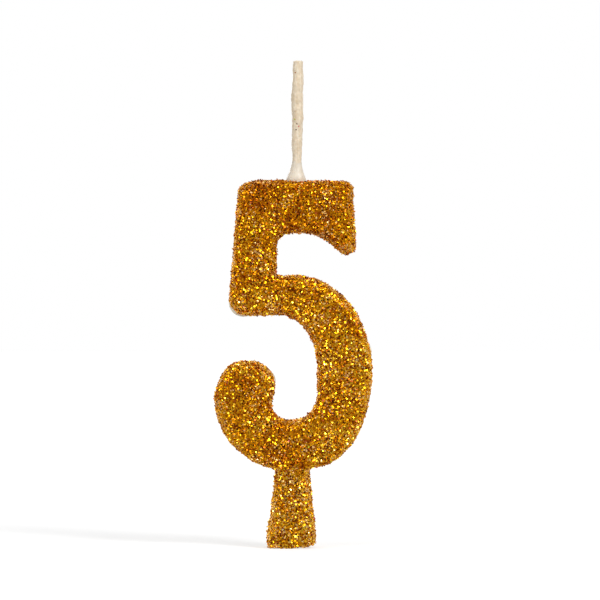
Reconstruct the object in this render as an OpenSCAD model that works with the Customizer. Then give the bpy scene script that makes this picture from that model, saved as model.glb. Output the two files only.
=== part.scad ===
// Number birthday candle: a cast wax "5" on a stem, coated with glitter, with a three-yarn cotton wick.
// The origin is the middle of the stem's sole. +Z is up and the glittered face looks along -Y.

/* [Numeral] */
// Height of the numeral above its stem
numeral_height = 58; // [54:0.5:66]
// Thickness from the glittered face to the bare back
candle_depth = 9; // [8:0.25:12]
// Rounding of the wax round its face
face_round = 1; // [0.5:0.05:1]
// How far the casting's walls lean in from the back to the face
wall_draft = 0.5; // [0.1:0.05:0.5]

/* [Stem] */
// Length of the stem below the numeral
stem_length = 15.6; // [12:0.2:24]
// Width of the stem where it meets the numeral
neck_width = 6.8; // [6:0.1:8]
// How far the neck stands to the right of the foot's middle
neck_shift = 0.25; // [0:0.05:0.5]
// Width of the flared foot
foot_width = 10; // [8:0.1:12]
// Rise of the sole's uneven right end
sole_rise = 0.7; // [0:0.05:1]

/* [Glitter] */
// Thickness of the glue and its flakes
coat_thickness = 0.4; // [0.3:0.05:0.4]
// Bare wax between the edge of the coat and the back face
bare_rim = 0.5; // [0.4:0.1:1.5]
// Width of one hexagonal flake across its corners
flake_width = 0.45; // [0.3:0.05:0.6]

/* [Wick] */
// Length of wick above the top of the numeral
wick_height = 23.8; // [14:0.2:30]
// Length of wick cast into the numeral's top bar
wick_depth = 8; // [3:0.5:8]
// Place of the wick to the right of the stem's middle
wick_x = 0.9; // [0:0.1:3]
// Lean of the wick to the right, in degrees
wick_lean = 1; // [0:0.25:3]
// Diameter of the waxed wick at its neck
wick_width = 1.9; // [1.6:0.05:2.2]
// Extra radius where the wax on the wick is thickest
wick_swell = 0.26; // [0:0.02:0.4]
// Length of one turn of the yarns
yarn_pitch = 4.2; // [3.6:0.2:8]

/* [Collar] */
// Width of the wax collar at its base
collar_width = 4; // [3:0.1:5]
// Height of the wax collar
collar_height = 3.4; // [2:0.1:4]

/* [Hidden] */
$fn = 64;

top_z = stem_length + numeral_height;
back_y = candle_depth / 2;
face_y = -candle_depth / 2;

// The bare rim at the back: its lip over the wax under the coat, its chamfer, and the slope of its step.
rim_y = back_y - bare_rim;
rim_lip = 0.3;
rim_chamfer = 0.2;
rim_slope = 0.1;

// The stem's foot: its corners, which stay a little round near the face, and the angle where they start.
foot_round = 0.8;
least_foot_round = 0.2;
corner_from = -75;

// The flat of the sole reaches this far to the left of the middle and to the right of it.
sole_left = 4.4;
sole_right = 1.5;

// The hollow shoulder where the stem meets the bowl.
shoulder_round = 0.6;
shoulder_rise = 0.2;

// The numeral is drawn on a grid 58 parts tall that stands on the stem. Its x is 0 above the foot's middle.
// Each entry is the centre or the radius of one arc of the outline.
unit = numeral_height / 58;
bowl_low = [4.1, 18.5];
bowl_low_radii = [11.9, 18.2];
bowl_high = [0.6, 19.4];
bowl_high_radii = [15.65, 19.5];
spine_corner = [-2.25, 39.5];
spine_corner_radius = 0.8;
arch_corner = [-1.4, 45.3];
arch_corner_radius = 1.4;
arch = [1.5, 41.1];
arch_radii = [8.4, 6.3];
flag_tip = [10.95, 45.1];
top_right = [10.4, 55.8];
flag_radius = 2;
top_left = [-5.9, 55.6];
top_left_radii = [4.8, 2.4];
heel = [-9.1, 34.2];
heel_radius = 3.4;
vault = [-2.6, 20.4];
vault_radii = [7.8, 10.5];
pool_right = [0.6, 15.4];
pool_right_radii = [4.6, 5.55];
pool_left = [-0.6, 13.3];
pool_left_radii = [3.3, 3.45];
ball_right = [-8.4, 16.8];
ball_right_radii = [5.2, 4.9];
ball_left = [-9.4, 17];
ball_left_radii = [5, 4.7];
tail = [-0.8, 14.6];
tail_radius = 14.7;

// The yarns touch each other round the wick's middle, inside a skin of wax.
wick_radius = wick_width / 2;
skin_thickness = 0.1;
yarn_count = 3;
yarn_radius = (wick_radius - skin_thickness) / (1 + 2 / sqrt(3));
yarn_offset = yarn_radius * 2 / sqrt(3);
yarn_clearance = 0.01;
wick_length = wick_depth + wick_height;

// The collar is seated in the numeral's top and ends in a thin lip on the wick. A higher hollow is thinner.
collar_seat = 1;
collar_lip = 0.05;
collar_hollow = 1.3;

flake_thickness = 0.05;

// Steps of the curves that are swept or turned.
face_round_steps = 4;
collar_steps = 8;
swell_steps = 20;
yarn_sides = 12;
yarn_slices_per_turn = 10;

// An arc about centre c. A convex one runs anticlockwise and shrinks by the inset. A hollow one grows by it.
function arc(c, r, from, to, steps, inset) =
  let (side = to > from ? -1 : 1)
  [for (i = [0 : steps]) let (a = from + (to - from) * i / steps)
    [c.x + max(r.x + side * inset, 0.05) * cos(a), c.y + max(r.y + side * inset, 0.05) * sin(a)]];

// An arc on the numeral's grid, placed above the stem. Its inset is in millimetres.
function grid_arc(c, r, from, to, steps, inset) =
  arc([c.x * unit, stem_length + c.y * unit], r * unit, from, to, steps, inset);

function grid_circle(c, radius, from, to, steps, inset) =
  grid_arc(c, [radius, radius], from, to, steps, inset);

// One wall of the stem, from the flat sole up to the shoulder under the bowl. An inset moves it sideways only.
function stem_wall(neck_x, sole_x, rise, inset) =
  let (
    corner = max(foot_round - inset, least_foot_round),
    foot = [foot_width / 2 - inset - corner, rise + corner],
    lean = atan((foot_width / 2 - neck_x) / (stem_length - foot_round)),
    foot_arc = arc(foot, [corner, corner], corner_from, lean, 5, 0),
    shoulder = [neck_x + shoulder_round, stem_length - shoulder_round + shoulder_rise],
    shoulder_arc = arc(shoulder, [shoulder_round, shoulder_round], 180, 95, 3, inset)
  )
  concat([[sole_x - inset, 0]], foot_arc, shoulder_arc);

function mirrored(points) = [for (i = [len(points) - 1 : -1 : 0]) [-points[i].x, points[i].y]];

// The outline from the front, anticlockwise from the sole's right end, moved in by the inset.
function outline(inset) = concat(
  stem_wall(neck_width / 2 + neck_shift, sole_right, sole_rise, inset),
  grid_arc(bowl_low, bowl_low_radii, -85, -8, 20, inset),
  grid_arc(bowl_high, bowl_high_radii, -6, 98, 26, inset),
  grid_circle(spine_corner, spine_corner_radius, 270, 180, 3, inset),
  grid_circle(arch_corner, arch_corner_radius, 180, 105, 3, inset),
  grid_arc(arch, arch_radii, 110, 30, 9, inset),
  grid_circle(flag_tip, flag_radius, 243, 360, 6, inset),
  grid_circle(top_right, flag_radius, 3, 90, 5, inset),
  grid_arc(top_left, top_left_radii, 90, 175, 7, inset),
  grid_circle(heel, heel_radius, 185, 270, 6, inset),
  grid_arc(vault, vault_radii, 90, 0, 12, inset),
  grid_arc(pool_right, pool_right_radii, 0, -90, 8, inset),
  grid_arc(pool_left, pool_left_radii, -90, -180, 7, inset),
  grid_arc(ball_right, ball_right_radii, -20, 90, 11, inset),
  grid_arc(ball_left, ball_left_radii, 90, 160, 7, inset),
  grid_circle(tail, tail_radius, 178, 252, 18, inset),
  mirrored(stem_wall(neck_width / 2 - neck_shift, sole_left, 0, inset))
);

// The outline at one depth, for a station of [y, inset].
function ring(station) = [for (p = outline(station[1])) [p.x, station[0], p.y]];

function draft_at(y) = wall_draft * (rim_y - y) / (rim_y - face_y);

// The rounding round the face. The wax and the coat over it share its centre line.
function face_stations(radius) =
  let (
    centre_y = face_y + coat_thickness + face_round,
    centre_inset = coat_thickness + draft_at(centre_y) + face_round
  )
  [for (i = [0 : face_round_steps]) let (a = 90 * i / face_round_steps)
    [centre_y - radius * sin(a), centre_inset - radius * cos(a)]];

// The bare rim at the back stands out as a lip that the coat ends against.
function wax_stations() = concat(
  [
    [back_y, coat_thickness],
    [back_y - rim_chamfer, coat_thickness - rim_lip],
    [rim_y, coat_thickness - rim_lip],
    [rim_y - rim_slope, coat_thickness]
  ],
  face_stations(face_round)
);

function coat_outer_stations() = concat([[rim_y, 0]], face_stations(face_round + coat_thickness));

function coat_inner_stations() = concat([[rim_y - rim_slope, coat_thickness]], face_stations(face_round));

// Two triangles for each side of a four-sided face.
function split(a, b, c, d) = [[a, b, c], [a, c, d]];

// The wall between ring k and the next ring of n points each, from point 0 to point last.
function wall(k, n, last, first_point = 0) =
  [for (i = [0 : last]) let (a = first_point + k * n + i, b = first_point + k * n + (i + 1) % n)
    each split(a, a + n, b + n, b)];

function flipped(faces) = [for (f = faces) [f[2], f[1], f[0]]];

function shifted(faces, by) = [for (f = faces) f + [by, by, by]];

// Twice the area of triangle abc, positive if it runs anticlockwise.
function turn(a, b, c) = (b.x - a.x) * (c.y - a.y) - (b.y - a.y) * (c.x - a.x);

function covers(a, b, c, p) = turn(a, b, p) >= 0 && turn(b, c, p) >= 0 && turn(c, a, p) >= 0;

// True if corner i of the loop can be cut off: it is convex and its triangle covers no other corner.
function is_ear(points, loop, i) =
  let (n = len(loop), a = points[loop[(i + n - 1) % n]], b = points[loop[i]], c = points[loop[(i + 1) % n]])
  turn(a, b, c) > 0
    && len([for (k = [2 : n - 2]) if (covers(a, b, c, points[loop[(i + k) % n]])) k]) == 0;

function next_ear(points, loop, i) =
  is_ear(points, loop, i) ? i : next_ear(points, loop, (i + 1) % len(loop));

// Triangles that fill an outline, cut off its corners one at a time. Every second corner goes first.
function fill(points, loop, done = []) =
  let (n = len(loop))
  n == 3 ? concat(done, [loop]) :
    let (i = next_ear(points, loop, 1), ear = [loop[(i + n - 1) % n], loop[i], loop[(i + 1) % n]])
    fill(points, [for (k = [1 : n - 1]) loop[(i + k) % n]], concat(done, [ear]));

function filled(points) = fill(points, [for (i = [0 : len(points) - 1]) i]);

module wax_body() {
  stations = wax_stations();
  rings = [for (s = stations) ring(s)];
  n = len(rings[0]);
  last = len(rings) - 1;
  sides = [for (k = [0 : last - 1]) each wall(k, n, n - 1)];
  back = filled(outline(stations[0][1]));
  face = shifted(flipped(filled(outline(stations[last][1]))), last * n);
  polyhedron([for (r = rings) each r], concat(sides, back, face));
}

// The coat is a cup over the wax, open at the back and at the sole.
module coat_shell() {
  stations = coat_outer_stations();
  outer = [for (s = stations) ring(s)];
  inner = [for (s = coat_inner_stations()) ring(s)];
  n = len(outer[0]);
  last = len(outer) - 1;
  inside = len(outer) * n;
  outer_sides = [for (k = [0 : last - 1]) each wall(k, n, n - 2)];
  inner_sides = flipped([for (k = [0 : last - 1]) each wall(k, n, n - 2, inside)]);
  front = filled(outline(stations[last][1]));
  outer_face = shifted(flipped(front), last * n);
  inner_face = shifted(front, inside + last * n);
  back_edge = [for (i = [0 : n - 2]) each split(i, i + 1, inside + i + 1, inside + i)];
  sole_right = [for (k = [0 : last - 1]) let (a = k * n)
    each split(a, inside + a, inside + a + n, a + n)];
  sole_left = [for (k = [0 : last - 1]) let (a = k * n + n - 1)
    each split(a, a + n, inside + a + n, inside + a)];
  sole_front = split(last * n, inside + last * n, inside + last * n + n - 1, last * n + n - 1);
  polyhedron(
    concat([for (r = outer) each r], [for (r = inner) each r]),
    concat(outer_sides, inner_sides, outer_face, inner_face, back_edge, sole_right, sole_left, sole_front)
  );
}

// Places its children in the wick's own frame, whose origin is where the wick leaves the numeral's top.
module at_wick() {
  translate([wick_x, 0, top_z]) rotate([0, wick_lean, 0]) children();
}

module wick_bore() {
  at_wick() translate([0, 0, -wick_depth]) cylinder(h = wick_length, r = wick_radius);
}

module collar_seat_cut() {
  at_wick() translate([0, 0, -collar_seat]) cylinder(h = 2 * collar_seat, d = collar_width);
}

module wax_numeral() {
  color("ivory") difference() {
    wax_body();
    wick_bore();
    collar_seat_cut();
  }
}

module glitter_coat() {
  color("goldenrod") difference() {
    coat_shell();
    collar_seat_cut();
  }
}

// One of the yarns that are laid round each other along the whole wick.
module wick_yarn(number) {
  turns = wick_length / yarn_pitch;
  slices = round(turns * yarn_slices_per_turn);
  color("wheat") at_wick() translate([0, 0, -wick_depth])
    linear_extrude(height = wick_length, twist = -360 * turns, slices = slices, $fn = yarn_sides)
      rotate(360 * number / yarn_count) translate([yarn_offset, 0])
        circle(r = yarn_radius - yarn_clearance);
}

// Radius of the wax on the wick at a height above the numeral. It is plain up to the top of the collar.
function skin_radius(height) =
  let (
    along = max(height - collar_height, 0) / (wick_height - collar_height),
    lumps = 0.8 + 0.2 * cos(4 * 360 * along)
  )
  wick_radius + wick_swell * sin(180 * along) * lumps;

module wick_wax_skin() {
  bore = wick_radius - skin_thickness + yarn_clearance;
  inside = [[bore, wick_height], [bore, -wick_depth], [wick_radius, -wick_depth]];
  swell = [for (i = [0 : swell_steps])
    let (height = collar_height + (wick_height - collar_height) * i / swell_steps)
    [skin_radius(height), height]];
  color("blanchedalmond") at_wick() rotate_extrude() polygon(concat(inside, swell));
}

// The wax that climbed the wick as the casting set. Its sides are hollow.
module wick_collar() {
  flare = collar_width / 2 - wick_radius - collar_lip;
  inside = [[wick_radius, collar_height], [wick_radius, -collar_seat], [collar_width / 2, -collar_seat]];
  sides = [for (i = [0 : collar_steps]) let (up = i / collar_steps)
    [wick_radius + collar_lip + flare * pow(1 - up, collar_hollow), collar_height * up]];
  color("floralwhite") at_wick() rotate_extrude() polygon(concat(inside, sides));
}

module flake() {
  cylinder(h = flake_thickness, d = flake_width, $fn = 6);
}

// A flake flat on the wick, at a share of its height and at an angle from the front.
module flake_on_wick(share, angle) {
  height = share * wick_height;
  at_wick() rotate([0, 0, angle - 90]) translate([skin_radius(height), 0, height]) rotate([0, 90, 0]) flake();
}

// Loose flakes: a few are stuck to the wick, and some crept over the rim on to the back.
module stray_flakes() {
  on_wick = [[0.9, -33], [0.51, -30], [0.47, -7], [0.45, 12], [0.42, -15]];
  back_inset = 2.2;
  back_points = outline(back_inset);
  first = 4;
  spacing = 13;
  turn_each = 17;
  color("darkgoldenrod") {
    for (place = on_wick) flake_on_wick(place[0], place[1]);
    for (i = [first : spacing : len(back_points) - 1])
      translate([back_points[i].x, back_y, back_points[i].y]) rotate([-90, turn_each * i, 0]) flake();
  }
}

wax_numeral();
glitter_coat();
wick_yarn(1);  // wick_yarn_1
wick_yarn(2);  // wick_yarn_2
wick_yarn(3);  // wick_yarn_3
wick_wax_skin();
wick_collar();
stray_flakes();
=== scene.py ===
"""Looks of the number birthday candle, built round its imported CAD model.

Everything is in metres, in the CAD frame: +Z up, the glittered face looks along -Y, and the origin is the
middle of the stem's sole.
"""

import math

import bmesh
import bpy
import numpy as np
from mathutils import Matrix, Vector, noise
from mathutils.bvhtree import BVHTree
from mathutils.kdtree import KDTree


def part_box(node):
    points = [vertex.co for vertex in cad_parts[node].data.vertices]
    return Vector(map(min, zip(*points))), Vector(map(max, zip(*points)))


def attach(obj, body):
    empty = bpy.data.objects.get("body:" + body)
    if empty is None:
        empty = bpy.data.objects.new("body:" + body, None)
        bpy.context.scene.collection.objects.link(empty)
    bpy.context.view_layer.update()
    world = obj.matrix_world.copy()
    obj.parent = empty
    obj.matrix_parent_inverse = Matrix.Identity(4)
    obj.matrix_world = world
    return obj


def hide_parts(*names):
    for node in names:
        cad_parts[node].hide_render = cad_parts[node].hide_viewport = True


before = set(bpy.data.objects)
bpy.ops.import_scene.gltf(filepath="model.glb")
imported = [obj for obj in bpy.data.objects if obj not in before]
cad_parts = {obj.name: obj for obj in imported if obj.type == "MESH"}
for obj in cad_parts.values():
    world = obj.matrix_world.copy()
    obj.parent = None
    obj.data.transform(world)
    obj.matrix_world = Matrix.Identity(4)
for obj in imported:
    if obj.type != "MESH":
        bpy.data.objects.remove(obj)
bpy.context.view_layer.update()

MM = 0.001
BODY = "root"

# ---------------------------------------------------------------- measures, in millimetres

# The casting: its back sank as it set, fully at SINK_REACH from its walls, and was scraped. Its rim is wavy.
CASTING_VOXEL = 0.3
BACK_SINK = 0.22
SINK_REACH = 3.5
BACK_SCRAPE = 0.045
BACK_WAVE = 0.09
BACK_INSET = 0.05
RIM_WAVE = 0.05
AIR_PITS = 40
PIT_REACHES = (0.45, 0.8)
PIT_DEPTHS = (0.12, 0.28)

# The coat: the surface that the flakes lie on is sunk a little, so that they end at the CAD coat. It has
# broad and fine waves. On the walls the fine ones are higher, and there are middling ones as well.
COAT_VOXEL = 0.24
COAT_SINK = 0.08
COAT_BROAD = 0.08
COAT_FINE, COAT_FINE_WALL = 0.05, 0.15
COAT_MIDDLING_WALL = 0.08
FILM_INSET = 0.24
FILM_THICKNESS = 0.16
FILM_WAVE = 0.03
SEAT_RADIUS = 1.7
SEAT_DEPTH = 1.5

# The coat's edge: how far it ends in front of the rim's step, how ragged it is, and how far it draws back at
# a bare spot. A share of the sites up to PAST_EDGE behind it still has a flake.
EDGE_SHORT = 0.15
EDGE_RAGGED = 0.22
EDGE_BARE = 0.9
PAST_EDGE = 0.5
PAST_EDGE_SHARE = 0.12

# A flake's width and the reach of each of its corners vary by these shares.
FLAKE_WIDTH = 0.38
FLAKE_WIDTHS = (0.8, 1.15)
FLAKE_CORNERS = (0.84, 1.08)
FLAKE_DEPTH = 0.05
FLAKE_JITTER = 0.07
FLAKE_LIFTS = (-0.05, 0.04)
FLAKES_PROUD = 0.2
MOST_FLAKES = 19000

# How flakes lean, in radians. Most lean by a normal spread, some lie wild, and a few on the walls stand on
# edge. Calm patches have fewer wild ones and a smaller spread.
LEAN_SPREAD, LEAN_LESS_CALM, LEAN_LESS_WALL = 0.36, 0.16, 0.06
WILD_SHARE, WILD_LESS_CALM = 0.27, 0.19
WILD_LEANS = (0.35, 1.15)
STANDING_SHARE = 0.05
STANDING_LEANS = (0.9, 1.4)
STANDING_LIFT = 0.10

# Tints along the flakes' colour ramp: gold up to where pale begins, then pale, pink and green.
PALE_FROM, PINK_FROM, GREEN_FROM = 0.88, 0.96, 0.98
PALE_TINT, PINK_TINT, GREEN_TINT = 0.93, 0.97, 0.99
# More pale flakes on the walls are painted light, which makes the side walls paler.
PALE_SHARE, PAINTED_LIGHT_PALE_MORE_WALL, PALE_MORE_PATCH = 0.02, 0.13, 0.12
PINK_SHARE, GREEN_SHARE = 0.0006, 0.0010

# A power below 1 makes the brighter golds commoner. What isn't random in a flake's blur is how dark it is.
# The power is lower on the walls: painted light, which makes the flakes there brighter.
TINT_POWER, PAINTED_LIGHT_POWER_LESS_WALL = 0.80, 0.30
RANDOM_BLUR = 0.35

# The share of its tint that the coat loses: worn in random patches and where it is calm, and painted shade on
# the top bar and along the top edge. On the stem only a share of all this is left, so the painted shade fades
# out downwards.
WORN_PATCH, WORN_CALM, PAINTED_SHADE_TOP_BAR, PAINTED_SHADE_TOP_EDGE = 0.18, 0.08, 0.17, 0.20
SHADE_AND_WEAR_ON_STEM = 0.3
TOP_BAR_Z = 55.0
STEM_TOP_Z = 15.0

# Where the coat is thin on the side wall and bare wax stands out beyond it: x, z, reach, swell.
BARE_SPOTS = ((-11.2, 46.9, 3.0, 0.70), (-3.4, 34.4, 1.8, 0.42), (15.7, 39.9, 2.0, 0.45))

# Spots where the coat is darker as well: x, z, reach, share of its tint lost.
DARKER_SPOTS = (
    (-8.3, 72.1, 4.0, 0.11),
    (3.7, 63.2, 4.5, 0.11),
    (-9.0, 54.5, 5.5, 0.11),
    (9.5, 49.5, 4.0, 0.15),
    (-10.5, 30.6, 5.5, 0.15),
    (9.6, 28.2, 4.5, 0.18),
    (0.3, 24.0, 4.0, 0.18),
    (-2.3, 17.4, 3.5, 0.14),
)

# The waxed wick, measured from the numeral's top upwards: height, sideways shift of its middle, radius.
WICK_PROFILE = (
    (-8.0, 0.00, 0.94),
    (0.0, 0.05, 0.95),
    (3.0, 0.12, 0.95),
    (5.0, 0.16, 0.93),
    (6.4, 0.06, 1.04),
    (8.0, 0.10, 1.05),
    (10.5, 0.16, 1.05),
    (12.4, 0.14, 1.16),
    (14.0, 0.03, 1.17),
    (16.2, -0.02, 1.21),
    (18.2, 0.03, 1.15),
    (20.5, 0.07, 1.08),
    (22.4, 0.04, 1.00),
    (23.7, 0.02, 0.98),
)
WICK_BOTTOM, WICK_TOP = WICK_PROFILE[0][0], WICK_PROFILE[-1][0]

# How far the wick's wax stands out from its profile: over the laid yarns, in fine beads, and in lumps. A row
# of WAX_LUMPS is height, size and seed.
LAID_RELIEF = 0.022
BEAD_RELIEF = 0.012
WAX_LUMPS = ((0.07, 1.6, 8), (0.03, 0.8, 14), (0.01, 0.4, 9))

# The three yarns fill YARN_REACH round the wick's middle. A strand's radius and its place in its yarn are
# shares of the yarn's radius.
YARN_REACH = 0.82
YARN_PITCH = 4.2
STRANDS = 7
STRAND_PITCH = 1.9
STRAND_RADIUS = 0.34
STRAND_PLACE = 0.64
STRAND_TOPS = (-0.02, 0.16)
CUT_FIBRES = 14
FIBRE_LENGTHS = (0.38, 0.6)
FIBRE_RADII = (0.022, 0.012)

# The collar's height above the numeral's top, and its radius there.
COLLAR_PROFILE = (
    (-0.9, 1.94),
    (0.1, 1.97),
    (0.5, 1.86),
    (1.0, 1.67),
    (1.5, 1.47),
    (2.0, 1.31),
    (2.5, 1.17),
    (3.0, 1.08),
    (3.4, 1.02),
    (3.6, 0.97),
)
COLLAR_BORE = 0.9
COLLAR_WAVE = 0.06
COLLAR_LIP_WAVE = 0.25

# Single flakes stuck to the wick: height above the numeral's top, degrees from the front, tint.
WICK_FLAKES = (
    (21.4, -33, 0.20),
    (12.1, -30, GREEN_TINT),
    (11.2, -7, 0.02),
    (10.7, 12, PINK_TINT),
    (10.0, -15, 0.01),
)
WICK_FLAKE_WIDTH = 0.3

# Single flakes on the bare back, gold or pale.
BACK_FLAKES = 46
BACK_TINTS = (0.1, 0.955)

# ---------------------------------------------------------------- light and camera

# Soft suns: name, azimuth and elevation in degrees, apparent width in degrees, strength.
SUNS = (
    ("key", 42, 32, 18, 1.80),
    ("fill", -46, 16, 20, 0.76),
    ("top", -8, 56, 36, 0.50),
    ("low", -16, -32, 26, 0.80),
    ("rim", 190, 10, 34, 0.90),
)
FILL_LIGHT = 0.50

# What the flakes reflect: a warm dim room in front, and a bright white backdrop behind. The dot product of a
# direction with BACKDROP_SIDE says which: all room below ROOM_ENDS, all backdrop above BACKDROP_STARTS.
BACKDROP_SIDE = (0.35, 0.94, 0.0)
ROOM_ENDS, BACKDROP_STARTS = -0.8, 0.5
ROOM_LIGHT, BACKDROP_LIGHT = 0.54, 1.1
WARM_WALL = (1.0, 0.87, 0.70)
WHITE = (1.0, 1.0, 1.0)

# The camera looks straight at the face. Its view is 120 mm wide at the candle.
LENS_MM = 240
SENSOR_MM = 36
VIEW_WIDTH = 120
VIEW_MIDDLE = (1.74, 0, 49.5)
FLOOR_REACH = 3.0

rng = np.random.default_rng(5)


# ---------------------------------------------------------------- small tools


def smooth_step(x):
    x = np.clip(x, 0.0, 1.0)
    return x * x * (3 - 2 * x)


def unit(vectors):
    return vectors / np.maximum(np.linalg.norm(vectors, axis=1, keepdims=True), 1e-12)


def averaged(values, reach):
    """Each value averaged with this many of its neighbours on either side."""
    width = 2 * reach + 1
    return np.convolve(np.pad(values, reach, mode="edge"), np.ones(width) / width, mode="valid")


def lumps(points, size, seed):
    """Smooth noise from about -1 to 1 at each point. size is the width of a lump in metres."""
    offset = Vector((seed * 17.3, seed * -9.1, seed * 5.7))
    return np.array([noise.noise(Vector(p) / size + offset) for p in points]) * 1.6


def near_spot(points, x, z, reach):
    """1 at a spot as seen from the front, and falling to 0 round it."""
    away = np.hypot(points[:, 0] - x, points[:, 2] - z) / reach
    return np.exp(-(away**2))


def vectors_from(items, attribute):
    flat = np.zeros(len(items) * 3, np.float32)
    items.foreach_get(attribute, flat)
    return flat.reshape(-1, 3).astype(float)


def points_of(mesh):
    return vectors_from(mesh.vertices, "co")


def normals_of(mesh):
    return vectors_from(mesh.vertex_normals, "vector")


def set_points(mesh, points):
    mesh.vertices.foreach_set("co", points.astype(np.float32).ravel())
    mesh.update()


def quads_of(mesh):
    corners = np.zeros(len(mesh.loops), np.int32)
    mesh.loops.foreach_get("vertex_index", corners)
    return corners.reshape(-1, 4)


def new_object(name, data):
    made = bpy.data.objects.new(name, data)
    bpy.context.scene.collection.objects.link(made)
    return made


def mesh_of(name, points, faces):
    mesh = bpy.data.meshes.new(name)
    mesh.from_pydata([tuple(p) for p in points], [], [tuple(int(i) for i in f) for f in faces])
    mesh.validate()
    mesh.shade_smooth()
    return mesh


def place(piece, material, replaced=()):
    """Gives a piece its material and its body, and hides the CAD nodes that it stands for."""
    piece.data.materials.clear()
    piece.data.materials.append(material)
    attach(piece, BODY)
    if replaced:
        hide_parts(*replaced)
    return piece


def remeshed(nodes, voxel):
    """One even mesh of quads round the outside of these CAD nodes."""
    bm = bmesh.new()
    for name in nodes:
        bm.from_mesh(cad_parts[name].data)
    bmesh.ops.remove_doubles(bm, verts=bm.verts, dist=1e-6)
    merged = bpy.data.meshes.new("merged")
    bm.to_mesh(merged)
    bm.free()
    rough = new_object("rough", merged)
    remesh = rough.modifiers.new("remesh", "REMESH")
    remesh.mode = "VOXEL"
    remesh.voxel_size = voxel * MM
    soften = rough.modifiers.new("soften", "SMOOTH")
    soften.factor = 0.5
    soften.iterations = 4
    graph = bpy.context.evaluated_depsgraph_get()
    mesh = bpy.data.meshes.new_from_object(rough.evaluated_get(graph))
    bpy.data.objects.remove(rough)
    mesh.shade_smooth()
    return mesh


def swept(rings, closed=False):
    """Points and quads of a tube from its rings of points. closed joins its last ring to its first."""
    count, sides = rings.shape[:2]
    rows = np.arange(count if closed else count - 1)[:, None]
    here = rows * sides + np.arange(sides)
    over = rows * sides + (np.arange(sides) + 1) % sides
    step = ((rows + 1) % count - rows) * sides
    quads = np.stack([here, over, over + step, here + step], axis=-1).reshape(-1, 4)
    return rings.reshape(-1, 3), quads


def thread(rings, ends):
    """Points and faces of a closed thread: a tube from its rings, with a point at each end."""
    points, quads = swept(rings)
    sides = rings.shape[1]
    faces = [tuple(q) for q in quads]
    last, bottom, top = len(points) - sides, len(points), len(points) + 1
    for k in range(sides):
        over = (k + 1) % sides
        faces.append((over, k, bottom))
        faces.append((last + k, last + over, top))
    return np.concatenate([points, ends]), faces


def joined(parts):
    points, faces, start = [], [], 0
    for part_points, part_faces in parts:
        points.append(part_points)
        faces += [tuple(i + start for i in f) for f in part_faces]
        start += len(part_points)
    return np.concatenate(points), faces


# ---------------------------------------------------------------- places, all from the CAD model

NUMERAL_LOW, NUMERAL_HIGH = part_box("wax_numeral")
COAT_LOW, COAT_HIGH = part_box("glitter_coat")
SKIN_LOW, SKIN_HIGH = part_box("wick_wax_skin")
TOP_Z = NUMERAL_HIGH.z
BACK_Y = NUMERAL_HIGH.y
RIM_Y = COAT_HIGH.y


def wick_axis():
    """The middle of the wick at the numeral's top, and its direction."""
    points = points_of(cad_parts["wick_wax_skin"].data)
    tip = points[points[:, 2] > SKIN_HIGH.z - 0.5 * MM].mean(0)
    root = points[points[:, 2] < SKIN_LOW.z + 0.5 * MM].mean(0)
    along = (tip - root) / np.linalg.norm(tip - root)
    return tip + along * (TOP_Z - tip[2]) / along[2], along


WICK_FOOT, WICK_ALONG = wick_axis()
WICK_SIDE = np.cross(np.array((0.0, 1.0, 0.0)), WICK_ALONG)
WICK_BACK = np.cross(WICK_ALONG, WICK_SIDE)


def wick_values(height, column):
    """One column of the wick's profile at these heights above the numeral's top, all in metres."""
    heights = [row[0] * MM for row in WICK_PROFILE]
    return np.interp(height, heights, [row[column] * MM for row in WICK_PROFILE])


def wick_line(height):
    """Points on the middle of the wick."""
    return WICK_FOOT + np.outer(height, WICK_ALONG) + np.outer(wick_values(height, 1), WICK_SIDE)


def round_wick(angles):
    """Directions straight out from the wick at these angles."""
    return np.cos(angles)[:, None] * WICK_SIDE + np.sin(angles)[:, None] * WICK_BACK


def full_turn(sides):
    return np.arange(sides) * 2 * math.pi / sides


# ---------------------------------------------------------------- materials


def new_material(name):
    """A material, its node tree, and its Principled shader."""
    material = bpy.data.materials.new(name)
    material.use_nodes = True
    shader = material.node_tree.nodes["Principled BSDF"]
    return material, material.node_tree, shader


def node(tree, kind, **values):
    made = tree.nodes.new(kind)
    for name, value in values.items():
        if name in made.inputs:
            made.inputs[name].default_value = value
        else:
            setattr(made, name, value)
    return made


def ramp(tree, value, stops, constant=False):
    """Colours along a value. stops are (position, colour)."""
    made = tree.nodes.new("ShaderNodeValToRGB")
    elements = made.color_ramp.elements
    made.color_ramp.interpolation = "CONSTANT" if constant else "LINEAR"
    while len(elements) < len(stops):
        elements.new(1.0)
    for element, (position, colour) in zip(elements, stops):
        element.position = position
        element.color = (*colour, 1.0)
    tree.links.new(value, made.inputs["Fac"])
    return made.outputs["Color"]


def mapped(tree, value, low, high, value_low=0.0, value_high=1.0):
    """A value that runs from low to high as the given one runs from value_low to value_high."""
    made = node(tree, "ShaderNodeMapRange")
    made.inputs["From Min"].default_value = value_low
    made.inputs["From Max"].default_value = value_high
    made.inputs["To Min"].default_value = low
    made.inputs["To Max"].default_value = high
    tree.links.new(value, made.inputs["Value"])
    return made.outputs["Result"]


def mixed(tree, kind, factor, first, second):
    """From first to second as factor goes from 0 to 1. Each end is a plain value or another node's output."""
    made = node(tree, "ShaderNodeMix", data_type=kind)
    sort = "RGBA" if kind == "RGBA" else "VALUE"
    ends = [socket for socket in made.inputs if socket.type == sort and socket.name in "AB"]
    for socket, end in zip(ends, (first, second)):
        if isinstance(end, bpy.types.NodeSocket):
            tree.links.new(end, socket)
        else:
            socket.default_value = end
    tree.links.new(factor, made.inputs["Factor"])
    return next(socket for socket in made.outputs if socket.type == sort)


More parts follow.
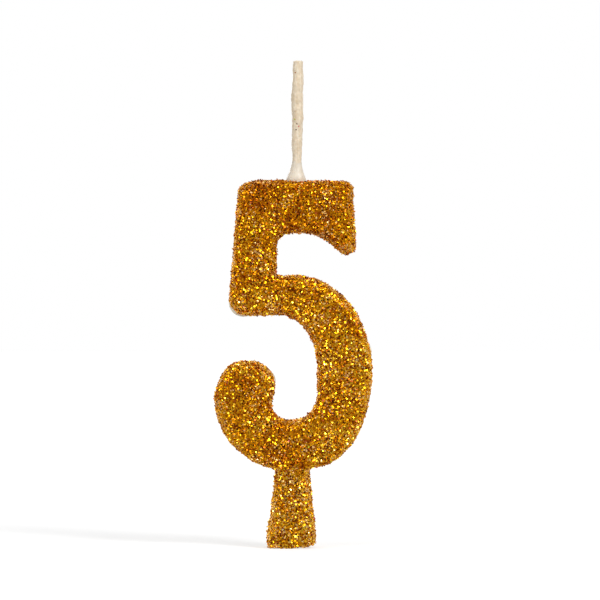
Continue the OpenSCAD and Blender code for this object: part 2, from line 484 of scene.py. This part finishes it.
def noise_value(tree, size, detail=3.0, stretch=(1, 1, 1)):
    """A noise texture on the piece's own coordinates. size is the width of a lump in metres."""
    own = tree.nodes.new("ShaderNodeTexCoord")
    scale = node(tree, "ShaderNodeMapping")
    scale.inputs["Scale"].default_value = stretch
    texture = node(tree, "ShaderNodeTexNoise", Scale=1 / size, Detail=detail)
    tree.links.new(own.outputs["Object"], scale.inputs["Vector"])
    tree.links.new(scale.outputs["Vector"], texture.inputs["Vector"])
    return texture.outputs["Fac"]


def bump(tree, shader, height, distance):
    made = node(tree, "ShaderNodeBump", Strength=1.0, Distance=distance)
    tree.links.new(height, made.inputs["Height"])
    tree.links.new(made.outputs["Normal"], shader.inputs["Normal"])


def lit_through(shader, weight, depth):
    """Light that soaks into wax to this depth in metres, red deepest."""
    shader.inputs["Subsurface Weight"].default_value = weight
    shader.inputs["Subsurface Radius"].default_value = (1.0, 0.7, 0.45)
    shader.inputs["Subsurface Scale"].default_value = depth


def glitter_material():
    """Metallised flakes. Each flake carries one tint and one shine. The pale ones are only half metal."""
    material, tree, shader = new_material("glitter_flakes")
    tint = node(tree, "ShaderNodeAttribute", attribute_name="tint").outputs["Fac"]
    shine = node(tree, "ShaderNodeAttribute", attribute_name="shine").outputs["Fac"]
    stops = (
        (0.00, (0.04, 0.005, 0.000)),
        (0.05, (0.20, 0.032, 0.000)),
        (0.15, (0.40, 0.098, 0.000)),
        (0.30, (0.60, 0.222, 0.000)),
        (0.48, (0.78, 0.375, 0.002)),
        (0.64, (0.87, 0.530, 0.030)),
        (0.80, (0.91, 0.660, 0.260)),
        (PALE_FROM, (0.86, 0.500, 0.165)),
        (PINK_FROM, (0.80, 0.120, 0.160)),
        (GREEN_FROM, (0.75, 0.850, 0.060)),
    )
    metal = ((0.00, WHITE), (PALE_FROM, (0.45, 0.45, 0.45)), (PINK_FROM, WHITE))
    tree.links.new(ramp(tree, tint, stops, constant=True), shader.inputs["Base Color"])
    tree.links.new(mapped(tree, shine, 0.06, 0.44), shader.inputs["Roughness"])
    tree.links.new(ramp(tree, tint, metal, constant=True), shader.inputs["Metallic"])
    shader.inputs["Specular Tint"].default_value = (1.0, 0.74, 0.30, 1)
    shader.inputs["Coat Weight"].default_value = 0.1
    shader.inputs["Coat Roughness"].default_value = 0.14
    return material


def glue_and_gap_shade_material():
    """Amber glue with crushed flakes in it, seen in the gaps between whole flakes. Its dark colour is partly
    painted shade for those gaps.
    """
    material, tree, shader = new_material("amber_glue_and_gap_shade")
    grain = noise_value(tree, 0.2 * MM, detail=2.0)
    # The dark end of these colours is partly painted shade in the gaps between flakes.
    stops = ((0.3, (0.10, 0.028, 0.001)), (0.5, (0.28, 0.090, 0.003)), (0.7, (0.50, 0.19, 0.008)))
    tree.links.new(ramp(tree, grain, stops), shader.inputs["Base Color"])
    tree.links.new(mapped(tree, noise_value(tree, 0.5 * MM), 0.3, 0.6), shader.inputs["Roughness"])
    shader.inputs["Metallic"].default_value = 0.5
    bump(tree, shader, grain, 0.05 * MM)
    return material


def wax_material(name, dark, light, rough, mottle_size, glow):
    """Candle wax: a slow mottle, a satin shine that varies, fine pits, and a little light through it."""
    material, tree, shader = new_material(name)
    mottle = noise_value(tree, mottle_size * MM, detail=4.0)
    satin = mapped(tree, noise_value(tree, 0.9 * MM), rough - 0.12, rough + 0.12)
    tree.links.new(ramp(tree, mottle, ((0.3, dark), (0.7, light))), shader.inputs["Base Color"])
    tree.links.new(satin, shader.inputs["Roughness"])
    shader.inputs["IOR"].default_value = 1.44
    lit_through(shader, glow, 0.8 * MM)
    bump(tree, shader, noise_value(tree, 0.5 * MM), 0.006 * MM)
    return material


def wick_wax_material():
    """Wax soaked into cotton: streaks run along the wick, and the threads show faintly."""
    material, tree, shader = new_material("wick_wax")
    streak = noise_value(tree, 0.35 * MM, detail=4.0, stretch=(1, 1, 0.16))
    stops = ((0.3, (0.64, 0.51, 0.35)), (0.52, (0.72, 0.60, 0.44)), (0.72, (0.81, 0.71, 0.57)))
    tree.links.new(ramp(tree, streak, stops), shader.inputs["Base Color"])
    tree.links.new(mapped(tree, noise_value(tree, 0.5 * MM), 0.32, 0.62), shader.inputs["Roughness"])
    lit_through(shader, 0.1, 0.5 * MM)
    bump(tree, shader, noise_value(tree, 0.14 * MM, stretch=(1, 1, 0.4)), 0.01 * MM)
    return material


def cotton_material():
    """Dry cotton: fibres run along the yarn, with a soft sheen."""
    material, tree, shader = new_material("cotton_yarn")
    fibre = noise_value(tree, 0.06 * MM, stretch=(1, 1, 0.2))
    stops = ((0.3, (0.60, 0.47, 0.32)), (0.7, (0.88, 0.80, 0.66)))
    tree.links.new(ramp(tree, fibre, stops), shader.inputs["Base Color"])
    tree.links.new(mapped(tree, fibre, 0.6, 0.9), shader.inputs["Roughness"])
    shader.inputs["Sheen Weight"].default_value = 0.3
    bump(tree, shader, fibre, 0.02 * MM)
    return material


# ---------------------------------------------------------------- the casting


def air_pits(points):
    """How far small pits left by air bubbles sink in at each point of the back."""
    depth = np.zeros(len(points))
    for _ in range(AIR_PITS):
        x, z = rng.uniform(NUMERAL_LOW.x, NUMERAL_HIGH.x), rng.uniform(NUMERAL_LOW.z, NUMERAL_HIGH.z)
        pit = near_spot(points, x, z, rng.uniform(*PIT_REACHES) * MM)
        depth = np.maximum(depth, rng.uniform(*PIT_DEPTHS) * MM * pit)
    return depth


def from_wall(points, normals, wanted):
    """How far each wanted point lies inside the casting's walls, as seen from the back."""
    walls = points[(np.abs(normals[:, 1]) < 0.5) & (points[:, 1] > BACK_Y - 1.5 * MM)]
    tree = KDTree(len(walls))
    for i, p in enumerate(walls):
        tree.insert((p[0], 0.0, p[2]), i)
    tree.balance()
    return np.array([tree.find((points[i, 0], 0.0, points[i, 2]))[2] for i in wanted])


def back_shift(points, normals):
    """How far each point of the back moves along y: sunk, scraped, wavy and pitted."""
    on_back = normals[:, 1] * smooth_step((points[:, 1] - BACK_Y + 0.5 * MM) / (0.3 * MM))
    back = np.where(on_back > 0.3)[0]
    sink = np.zeros(len(points))
    sink[back] = BACK_SINK * MM * smooth_step(from_wall(points, normals, back) / (SINK_REACH * MM))
    scrape = BACK_SCRAPE * MM * lumps(points * np.array((1.0, 1.0, 0.12)), 0.6 * MM, 3)
    wave = BACK_WAVE * MM * lumps(points, 4.5 * MM, 4)
    return np.clip(on_back, 0, 1) * (wave + scrape - sink - air_pits(points) - BACK_INSET * MM)


def rim_swell(points, normals):
    """How far the bare lip round the back stands out beyond the coat."""
    lip = smooth_step((points[:, 1] - RIM_Y + 0.9 * MM) / (0.7 * MM)) * (np.abs(normals[:, 1]) < 0.8)
    swell = np.zeros(len(points))
    for x, z, reach, most in BARE_SPOTS:
        swell = np.maximum(swell, most * MM * lip * near_spot(points, x * MM, z * MM, reach * MM))
    return swell + RIM_WAVE * MM * lip * lumps(points, 1.8 * MM, 5)


def wax_casting(material):
    """The bare wax: seen at the back, the sole and the rim."""
    mesh = remeshed(["wax_numeral"], CASTING_VOXEL)
    points, normals = points_of(mesh), normals_of(mesh)
    points[:, 1] += back_shift(points, normals)
    swell = rim_swell(points, normals)
    points[:, 0] += normals[:, 0] * swell
    points[:, 2] += np.where(points[:, 2] > 1 * MM, normals[:, 2] * swell, 0)
    set_points(mesh, points)
    return place(new_object("wax_casting", mesh), material, ["wax_numeral"])


# ---------------------------------------------------------------- the glitter


def coat_surface():
    """The surface that the flakes lie on: the outside of the casting and its coat, gently uneven."""
    mesh = remeshed(["wax_numeral", "glitter_coat"], COAT_VOXEL)
    points, normals = points_of(mesh), normals_of(mesh)
    wall = 1 - np.abs(normals[:, 1])
    broad = COAT_BROAD * MM * lumps(points, 4.0 * MM, 1)
    fine = (COAT_FINE + COAT_FINE_WALL * wall) * MM * lumps(points, 1.1 * MM, 2)
    middling = COAT_MIDDLING_WALL * wall * MM * lumps(points, 2.3 * MM, 15)
    points += normals * (broad + fine + middling - COAT_SINK * MM)[:, None]
    points[:, 2] = np.maximum(points[:, 2], 0)
    set_points(mesh, points)
    return mesh


def coat_edge(points):
    """The y where the coat ends: a ragged line near the back rim, further forward at the bare spots."""
    ragged = EDGE_RAGGED * MM * lumps(points * np.array((1, 0, 1)), 1.6 * MM, 6)
    edge = RIM_Y - EDGE_SHORT * MM + ragged
    for x, z, reach, _ in BARE_SPOTS:
        edge -= EDGE_BARE * MM * near_spot(points, x * MM, z * MM, reach * MM)
    return edge


def coated(points, normals):
    """True where glue was put: everywhere but the back, the sole and the collar's seat."""
    sole = (points[:, 2] < 0.35 * MM) & (normals[:, 2] < -0.6)
    seat = np.hypot(points[:, 0] - WICK_FOOT[0], points[:, 1] - WICK_FOOT[1]) < SEAT_RADIUS * MM
    seat &= points[:, 2] > TOP_Z - SEAT_DEPTH * MM
    return (points[:, 1] < coat_edge(points)) & ~sole & ~seat


def glue_film(surface, material):
    """The layer of glue: a thin closed shell under the flakes."""
    points, normals = points_of(surface), normals_of(surface)
    quads = quads_of(surface)
    middles = points[quads].mean(1)
    keep = coated(middles, unit(normals[quads].mean(1))) & (middles[:, 1] < RIM_Y - 0.1 * MM)
    used, faces = np.unique(quads[keep], return_inverse=True)
    faces = faces.reshape(-1, 4)
    inset = FILM_INSET * MM + FILM_WAVE * MM * lumps(points[used], 0.6 * MM, 7)
    mesh = mesh_of("glue_film", points[used] - normals[used] * inset[:, None], faces)
    piece = new_object("glue_film", mesh)
    shell = piece.modifiers.new("shell", "SOLIDIFY")
    shell.thickness = FILM_THICKNESS * MM
    shell.offset = -1.0
    return place(piece, material, ["glitter_coat"])


def flake_points(middles, normals, widths):
    """Seven points for each flake: six round its rim and one under its middle, inside the coat's bounds."""
    count = len(middles)
    across = unit(np.cross(normals, unit(rng.normal(size=(count, 3)))))
    beside = np.cross(normals, across)
    reach = widths[:, None] / 2 * rng.uniform(*FLAKE_CORNERS, (count, 6))
    turns = full_turn(6)
    rim = (
        middles[:, None]
        + (reach * np.cos(turns))[..., None] * across[:, None]
        + (reach * np.sin(turns))[..., None] * beside[:, None]
    )
    under = middles - normals * FLAKE_DEPTH * MM
    points = np.concatenate([rim, under[:, None]], axis=1).reshape(-1, 3)
    points[:, 1] = np.maximum(points[:, 1], COAT_LOW.y - FLAKES_PROUD * MM)
    points[:, 2] = np.maximum(points[:, 2], 0)
    return points


def flake_mesh(name, middles, normals, widths, tint, shine):
    """Closed thin flakes: each is a six-sided mirror with a shallow point under it, buried in the glue."""
    count = len(middles)
    points = flake_points(middles, normals, widths)
    face_starts = [0, 6, 9, 12, 15, 18, 21]
    pattern = list(range(6)) + [i for k in range(6) for i in ((k + 1) % 6, k, 6)]
    corners = (np.arange(count)[:, None] * 7 + np.array(pattern)).ravel()
    starts = (np.arange(count)[:, None] * len(pattern) + np.array(face_starts)).ravel()
    mesh = bpy.data.meshes.new(name)
    mesh.vertices.add(len(points))
    mesh.loops.add(len(corners))
    mesh.polygons.add(len(starts))
    mesh.vertices.foreach_set("co", points.astype(np.float32).ravel())
    mesh.loops.foreach_set("vertex_index", corners.astype(np.int32))
    mesh.polygons.foreach_set("loop_start", starts.astype(np.int32))
    mesh.update(calc_edges=True)
    mesh.shade_flat()
    for attribute, values in (("tint", tint), ("shine", shine)):
        layer = mesh.attributes.new(attribute, "FLOAT", "POINT")
        layer.data.foreach_set("value", np.repeat(values, 7).astype(np.float32))
    flake_map(mesh, count, corners)
    return mesh


def flake_map(mesh, count, corners):
    """Gives each flake a cell of its own on the texture map."""
    across = math.ceil(math.sqrt(count))
    turns = full_turn(6)
    cell = np.stack([np.arange(count) % across, np.arange(count) // across], axis=1) + 0.5
    offsets = np.append(0.48 * np.stack([np.cos(turns), np.sin(turns)], axis=1), [[0, 0]], axis=0)
    at = ((cell[:, None] + offsets) / across).reshape(-1, 2)
    layer = mesh.uv_layers.new(name="OFBake")
    layer.data.foreach_set("uv", at[corners].astype(np.float32).ravel())


def tilted(normals, angles):
    """Normals turned by these angles in random directions."""
    aside = unit(np.cross(normals, unit(rng.normal(size=normals.shape))))
    return unit(normals * np.cos(angles)[:, None] + aside * np.sin(angles)[:, None])


def glitter_sites(surface):
    """Where flakes lie and which way the surface faces there. A few lie past the coat's edge, on the rim."""
    points, normals = points_of(surface), normals_of(surface)
    quads = quads_of(surface)
    corners = points[quads]
    faces = unit(np.cross(corners[:, 2] - corners[:, 0], corners[:, 3] - corners[:, 1]))
    faces *= np.sign((faces * normals[quads].mean(1)).sum(1))[:, None]
    middles = corners.mean(1)
    keep = coated(middles, faces)
    beyond = ~keep & (middles[:, 1] < coat_edge(middles) + PAST_EDGE * MM) & (middles[:, 2] > 0.5 * MM)
    beyond &= faces[:, 1] < 0.7
    keep |= beyond & (rng.random(len(keep)) < PAST_EDGE_SHARE)
    return middles[keep], faces[keep]


def flake_angles(calm, wall):
    """How far each flake leans, and which ones stand on edge."""
    count = len(calm)
    wild = rng.random(count) < WILD_SHARE - WILD_LESS_CALM * calm
    standing = rng.random(count) < STANDING_SHARE * wall
    spread = LEAN_SPREAD - LEAN_LESS_CALM * calm - LEAN_LESS_WALL * wall
    angles = np.where(wild, rng.uniform(*WILD_LEANS, count), np.abs(rng.normal(0, spread)))
    return np.where(standing, rng.uniform(*STANDING_LEANS, count), angles), standing


def worn_and_painted_shade(sites, calm):
    """The share of its tint that the coat loses at each site: wear, and painted shade on the top bar and top
    edge.
    """
    height = sites[:, 2]
    wear_and_shade = WORN_PATCH * smooth_step(lumps(sites, 4.0 * MM, 13) * 1.4 + 0.15) + WORN_CALM * calm
    # Painted shade: the top bar and the top edge are made darker.
    wear_and_shade += PAINTED_SHADE_TOP_BAR * smooth_step((height - TOP_BAR_Z * MM) / (8 * MM) + 0.5)
    wear_and_shade += PAINTED_SHADE_TOP_EDGE * smooth_step((height - TOP_Z) / (2 * MM) + 1.0)
    for x, z, reach, most in DARKER_SPOTS:
        wear_and_shade += most * near_spot(sites, x * MM, z * MM, reach * MM)
    # Less of the wear and of the painted shade is left on the stem.
    above_stem = smooth_step((height - STEM_TOP_Z * MM) / (4 * MM) + 0.5)
    return wear_and_shade * (SHADE_AND_WEAR_ON_STEM + (1 - SHADE_AND_WEAR_ON_STEM) * above_stem)


def flake_tints(sites, calm, wall):
    """Each flake's tint and shine. Most are gold, some are pale, and very few are pink or green. On the walls
    the golds are brighter and more are pale: painted light, which makes the walls paler.
    """
    count = len(sites)
    share, blur = rng.random(count), rng.random(count)
    # On the walls a lower power makes the golds brighter: painted light. The tint lost is partly painted
    # shade.
    tint = PALE_FROM * share ** (TINT_POWER - PAINTED_LIGHT_POWER_LESS_WALL * wall) * (1 - worn_and_painted_shade(sites, calm))
    shine = RANDOM_BLUR * blur + (1 - RANDOM_BLUR) * (1 - tint / PALE_FROM)
    patch = smooth_step(lumps(sites, 3.5 * MM, 18) * 1.3)
    # More pale flakes on the walls are painted light.
    pale = rng.random(count) < PALE_SHARE + PAINTED_LIGHT_PALE_MORE_WALL * wall + PALE_MORE_PATCH * patch
    tint[pale] = PALE_TINT
    odd = rng.random(count)
    tint[odd < PINK_SHARE] = PINK_TINT
    tint[odd > 1 - GREEN_SHARE] = GREEN_TINT
    return tint, shine


def glitter_pieces(surface, material):
    """All the flakes of the coat, in bands from the bottom up."""
    sites, normals = glitter_sites(surface)
    count = len(sites)
    jitter = rng.normal(size=(count, 3)) * FLAKE_JITTER * MM
    jitter -= normals * (jitter * normals).sum(1, keepdims=True)
    wall = 1 - np.abs(normals[:, 1])
    calm = smooth_step(lumps(sites, 5.0 * MM, 17) * 1.3 + 0.45)
    angles, standing = flake_angles(calm, wall)
    lean = tilted(normals, angles)
    widths = FLAKE_WIDTH * MM * rng.uniform(*FLAKE_WIDTHS, count)
    lift = rng.uniform(*FLAKE_LIFTS, count) * MM + 0.35 * np.sin(angles) * widths / 2
    lift += np.where(standing, STANDING_LIFT * MM, 0)
    middles = sites + jitter + normals * lift[:, None]
    tint, shine = flake_tints(sites, calm, wall)
    order = np.argsort(middles[:, 2])
    for i, band in enumerate(np.array_split(order, math.ceil(count / MOST_FLAKES))):
        name = f"glitter_band_{i + 1}"
        mesh = flake_mesh(name, middles[band], lean[band], widths[band], tint[band], shine[band])
        place(new_object(name, mesh), material)


# ---------------------------------------------------------------- the wick


def wick_skin(material):
    """The waxed outside of the wick: lumps, and the laid yarns showing through it."""
    sides, step = 72, 0.09 * MM
    heights = np.arange(WICK_BOTTOM * MM, WICK_TOP * MM, step)
    angles = full_turn(sides)
    out = round_wick(angles)
    middle = wick_line(heights)
    radius = averaged(wick_values(heights, 2), 6)
    base = middle[:, None] + radius[:, None, None] * out[None]
    flat = base.reshape(-1, 3)
    turn = angles[None] - 2 * math.pi * heights[:, None] / (YARN_PITCH * MM)
    laid = LAID_RELIEF * MM * (np.abs(np.cos(1.5 * turn)) - 0.6)
    bead = BEAD_RELIEF * MM * np.cos(6 * angles[None] + 2 * math.pi * heights[:, None] / (1.0 * MM))
    rough = sum(most * MM * lumps(flat, size * MM, seed) for most, size, seed in WAX_LUMPS)
    relief = laid + bead + rough.reshape(len(heights), sides)
    fade = smooth_step((heights - 0.5 * MM) / (3 * MM))[:, None]
    outer = base + (relief * fade)[..., None] * out[None]
    inner = middle[::-1, None] + YARN_REACH * MM * out[None]
    ragged = 0.08 * MM * lumps(outer[-1], 0.5 * MM, 10)
    outer[-1] += ragged[:, None] * WICK_ALONG
    lip = outer[-1] * 0.4 + inner[0] * 0.6 + WICK_ALONG * 0.05 * MM
    points, quads = swept(np.concatenate([outer, lip[None], inner[::4]], axis=0), closed=True)
    piece = new_object("wick_wax", mesh_of("wick_wax", points, quads))
    return place(piece, material, ["wick_wax_skin"])


def strand(heights, radius, yarn_offset, yarn_phase, own_offset, own_phase, sides=7):
    """A closed thread that winds round its yarn, which winds round the wick."""
    out = round_wick(yarn_phase + 2 * math.pi * heights / (YARN_PITCH * MM))
    side = np.cross(WICK_ALONG, out)
    own = own_phase + 2 * math.pi * heights / (STRAND_PITCH * MM)
    centre = wick_line(heights) + yarn_offset * out
    centre = centre + own_offset * (np.cos(own)[:, None] * out + np.sin(own)[:, None] * side)
    rings = centre[:, None] + radius * round_wick(full_turn(sides))[None]
    return thread(rings, [centre[0] - WICK_ALONG * radius * 0.3, centre[-1] + WICK_ALONG * radius * 0.5])


def cotton_yarn(number, material):
    """One of three yarns, spun from seven strands, from the bottom of its hole to the cut end."""
    radius = YARN_REACH * MM / (1 + 2 / math.sqrt(3))
    offset = radius * 2 / math.sqrt(3)
    phase = 2 * math.pi * number / 3
    parts = []
    for k in range(STRANDS):
        top = WICK_TOP * MM + rng.uniform(*STRAND_TOPS) * MM
        heights = np.arange(WICK_BOTTOM * MM, top, 0.3 * MM)
        heights = np.append(heights[:-1], top)
        own_offset = 0.0 if k == 0 else radius * STRAND_PLACE
        parts.append(strand(heights, radius * STRAND_RADIUS, offset, phase, own_offset, k * math.pi / 3))
    name = f"cotton_yarn_{number}"
    mesh = mesh_of(name, *joined(parts))
    return place(new_object(name, mesh), material, [f"wick_yarn_{number}"])


def cut_fibres(material):
    """Loose ends of single fibres at the cut top of the wick."""
    parts, sides, rings = [], 5, 6
    thickness = np.linspace(*FIBRE_RADII, rings) * MM
    for _ in range(CUT_FIBRES):
        angle, out = rng.uniform(0, 2 * math.pi), rng.uniform(0.1, 0.85) * MM
        side = math.cos(angle) * WICK_SIDE + math.sin(angle) * WICK_BACK
        start = wick_line(np.array([(WICK_TOP - 0.3) * MM]))[0] + side * out
        lean = unit((WICK_ALONG + rng.normal(size=3) * 0.35)[None])[0]
        curl = rng.normal(size=3) * 0.25
        along = np.linspace(0, rng.uniform(*FIBRE_LENGTHS) * MM, rings)
        centre = start + np.outer(along, lean) + np.outer(along**2 / MM, curl)
        tube = centre[:, None] + thickness[:, None, None] * round_wick(full_turn(sides))[None]
        parts.append(thread(tube, [centre[0], centre[-1]]))
    mesh = mesh_of("cut_fibres", *joined(parts))
    return place(new_object("cut_fibres", mesh), material)


def collar(material):
    """The wax that climbed the wick as the casting set: hollow sides, a thin lip, and a soft uneven foot."""
    sides, rings = 96, 64
    profile = np.array(COLLAR_PROFILE)
    heights = np.linspace(profile[0, 0], profile[-1, 0], rings) * MM
    radii = averaged(np.interp(heights, profile[:, 0] * MM, profile[:, 1] * MM), 2)
    out = round_wick(full_turn(sides))
    middle = wick_line(heights)
    outer = middle[:, None] + radii[:, None, None] * out[None]
    uneven = COLLAR_WAVE * MM * lumps(outer.reshape(-1, 3), 1.6 * MM, 11).reshape(rings, sides)
    outer = outer + uneven[..., None] * out[None]
    outer[-1] += (COLLAR_LIP_WAVE * MM * lumps(outer[-1], 0.9 * MM, 12))[:, None] * WICK_ALONG
    inner = middle[::-1, None] + COLLAR_BORE * MM * out[None]
    points, quads = swept(np.concatenate([outer, inner], axis=0), closed=True)
    piece = new_object("wax_collar", mesh_of("wax_collar", points, quads))
    return place(piece, material, ["wick_collar"])


def hits_on_wick(skin, graph):
    """Where the single flakes of the wick lie, and which way its wax faces there."""
    tree = BVHTree.FromObject(skin, graph)
    for height, degrees, _ in WICK_FLAKES:
        angle = math.radians(degrees)
        out = math.sin(angle) * WICK_SIDE - math.cos(angle) * WICK_BACK
        start = wick_line(np.array([height * MM]))[0] + out * 4 * MM
        hit, normal, _, _ = tree.ray_cast(Vector(start), Vector(-out))
        yield hit, normal


def hit_on_back(tree):
    """A random place on the flat of the back, and which way it faces there."""
    while True:
        x = rng.uniform(NUMERAL_LOW.x, NUMERAL_HIGH.x)
        z = rng.uniform(NUMERAL_LOW.z, NUMERAL_HIGH.z)
        hit, normal, _, _ = tree.ray_cast(Vector((x, BACK_Y + 5 * MM, z)), Vector((0, -1, 0)))
        if hit is not None and normal.y > 0.9 and hit.y > BACK_Y - 1 * MM:
            return hit, normal


def stray_flakes(skin, casting, material):
    """Single flakes on the wick and on the bare back."""
    graph = bpy.context.evaluated_depsgraph_get()
    hits = list(hits_on_wick(skin, graph))
    tints = [tint for _, _, tint in WICK_FLAKES]
    tree = BVHTree.FromObject(casting, graph)
    for _ in range(BACK_FLAKES):
        hits.append(hit_on_back(tree))
        tints.append(rng.uniform(*BACK_TINTS))
    middles = np.array([hit for hit, _ in hits])
    normals = unit(np.array([normal for _, normal in hits]))
    widths = FLAKE_WIDTH * MM * rng.uniform(0.75, 1.0, len(hits))
    widths[: len(WICK_FLAKES)] = WICK_FLAKE_WIDTH * MM
    lean = tilted(normals, np.abs(rng.normal(0, 0.12, len(hits))))
    shine = rng.random(len(hits))
    mesh = flake_mesh("stray_glitter", middles + normals * 0.03 * MM, lean, widths, np.array(tints), shine)
    return place(new_object("stray_glitter", mesh), material, ["stray_flakes"])


# ---------------------------------------------------------------- camera, light and floor


def aim(thing, target):
    direction = Vector(target) - thing.location
    thing.rotation_euler = direction.to_track_quat("-Z", "Y").to_euler()


def camera():
    data = bpy.data.cameras.new("camera")
    data.lens = LENS_MM
    data.sensor_width = SENSOR_MM
    data.clip_start = 0.01
    made = new_object("camera", data)
    target = tuple(value * MM for value in VIEW_MIDDLE)
    made.location = (target[0], -VIEW_WIDTH * MM * LENS_MM / SENSOR_MM, target[2])
    aim(made, target)
    bpy.context.scene.camera = made


def soft_sun(name, azimuth, elevation, angle, strength):
    """An even soft light from a compass direction, 0 being in front of the candle and 90 to its right."""
    data = bpy.data.lights.new(name, "SUN")
    data.angle = math.radians(angle)
    data.energy = strength
    made = new_object(name, data)
    turn, rise = math.radians(azimuth), math.radians(elevation)
    made.location = (math.cos(rise) * math.sin(turn), -math.cos(rise) * math.cos(turn), math.sin(rise))
    aim(made, (0, 0, 0))


def studio_world():
    """White to the camera, dimmer as fill light, and in reflections a white backdrop with a warm dim room."""
    world = bpy.data.worlds.new("studio")
    bpy.context.scene.world = world
    world.use_nodes = True
    tree = world.node_tree
    direction = tree.nodes.new("ShaderNodeTexCoord").outputs["Generated"]
    path = tree.nodes.new("ShaderNodeLightPath").outputs
    facing = node(tree, "ShaderNodeVectorMath", operation="DOT_PRODUCT")
    facing.inputs[1].default_value = BACKDROP_SIDE
    tree.links.new(direction, facing.inputs[0])
    behind = facing.outputs["Value"]
    room = mapped(tree, behind, ROOM_LIGHT, BACKDROP_LIGHT, ROOM_ENDS, BACKDROP_STARTS)
    place_along = mapped(tree, behind, 0.0, 1.0, ROOM_ENDS, BACKDROP_STARTS)
    walls = ramp(tree, place_along, ((0.0, WARM_WALL), (1.0, WHITE)))
    unseen = mixed(tree, "FLOAT", path["Is Glossy Ray"], FILL_LIGHT, room)
    strength = mixed(tree, "FLOAT", path["Is Camera Ray"], unseen, 1.0)
    colour = mixed(tree, "RGBA", path["Is Glossy Ray"], (*WHITE, 1.0), walls)
    background = tree.nodes["Background"]
    tree.links.new(strength, background.inputs["Strength"])
    tree.links.new(colour, background.inputs["Color"])
    bpy.context.scene.view_settings.view_transform = "Standard"


def pale_floor():
    """A plain floor that only the camera sees, and that takes the candle's shadow."""
    corners = [(x * FLOOR_REACH, y * FLOOR_REACH, 0) for x, y in ((-1, -1), (1, -1), (1, 1), (-1, 1))]
    floor = new_object("floor", mesh_of("floor", corners, [(0, 1, 2, 3)]))
    material, _, shader = new_material("pale_floor")
    shader.inputs["Base Color"].default_value = (0.55, 0.55, 0.55, 1)
    shader.inputs["Roughness"].default_value = 0.8
    shader.inputs["Specular IOR Level"].default_value = 0.0
    shader.inputs["Emission Color"].default_value = (1, 1, 1, 1)
    shader.inputs["Emission Strength"].default_value = 0.50
    floor.data.materials.append(material)
    floor.visible_glossy = False
    floor.visible_diffuse = False


# ---------------------------------------------------------------- everything in order

camera()
studio_world()
pale_floor()
for sun in SUNS:
    soft_sun(*sun)

ivory = wax_material("ivory_wax", (0.85, 0.74, 0.55), (0.94, 0.87, 0.72), 0.45, 5.0, 0.35)
casting = wax_casting(ivory)
surface = coat_surface()
glue_film(surface, glue_and_gap_shade_material())
flakes = glitter_material()
glitter_pieces(surface, flakes)
skin = wick_skin(wick_wax_material())
cotton = cotton_material()
for yarn in (1, 2, 3):
    cotton_yarn(yarn, cotton)
cut_fibres(cotton)
collar(wax_material("collar_wax", (0.64, 0.56, 0.45), (0.73, 0.66, 0.55), 0.40, 1.5, 0.1))
stray_flakes(skin, casting, flakes)
